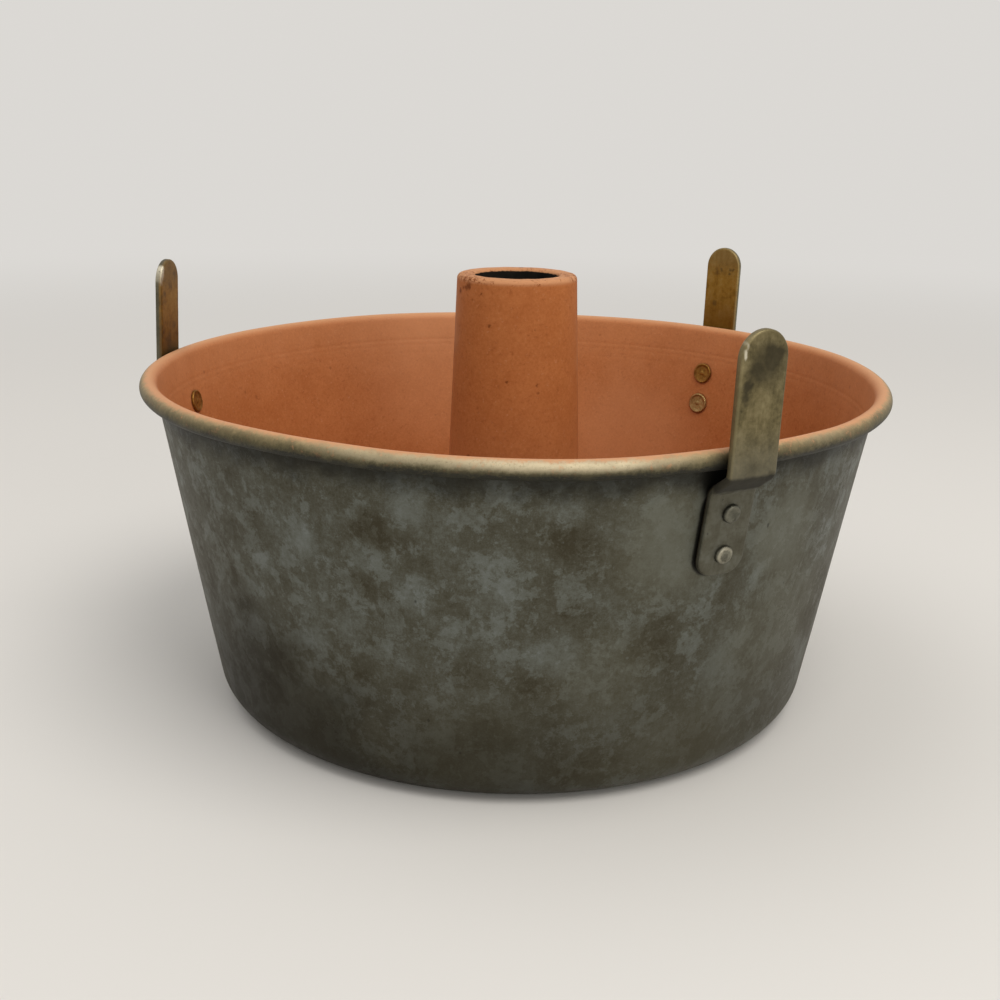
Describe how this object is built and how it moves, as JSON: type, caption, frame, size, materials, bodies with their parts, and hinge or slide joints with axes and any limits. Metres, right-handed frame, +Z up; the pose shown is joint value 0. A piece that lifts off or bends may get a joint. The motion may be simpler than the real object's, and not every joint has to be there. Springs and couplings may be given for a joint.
{
  "type": "angel food cake pan",
  "caption": "Tapered round tube pan with a rolled rim, riveted legs that stand above the rim, and a lift-out bottom with a hollow centre tube.",
  "frame": {"origin": "on the pan's axis at the surface that it stands on", "axes": "+Z up along the centre tube, -Y towards the front, where one leg stands to the right"},
  "size_m": [0.2666, 0.264, 0.1508],
  "materials": {
    "pan_metal": "aged, dull, mottled aluminium outside, fired non-stick coating inside",
    "coating": "aluminium sheet with a matte terracotta non-stick coating, speckled with small dark pits",
    "wire": "plain drawn wire",
    "leg_metal": "worn flat bar with brown baked-on stains",
    "rivet_metal": "worn and stained rivet heads"
  },
  "bodies": {
    "shell": {"pan_shell": "pan_metal", "rim_wire": "wire", "leg_front_right": "leg_metal", "leg_rear_right": "leg_metal", "leg_rear_left": "leg_metal", "rivet_front_right_upper": "rivet_metal", "rivet_front_right_lower": "rivet_metal", "rivet_rear_right_upper": "rivet_metal", "rivet_rear_right_lower": "rivet_metal", "rivet_rear_left_upper": "rivet_metal", "rivet_rear_left_lower": "rivet_metal"},
    "insert": {"bottom_plate": "coating", "centre_tube": "coating"}
  },
  "joints": [
    {"name": "insert_lift", "type": "slide", "parent": "shell", "child": "insert", "axis": [0, 0, 1], "range_m": [0, 0.17]}
  ]
}
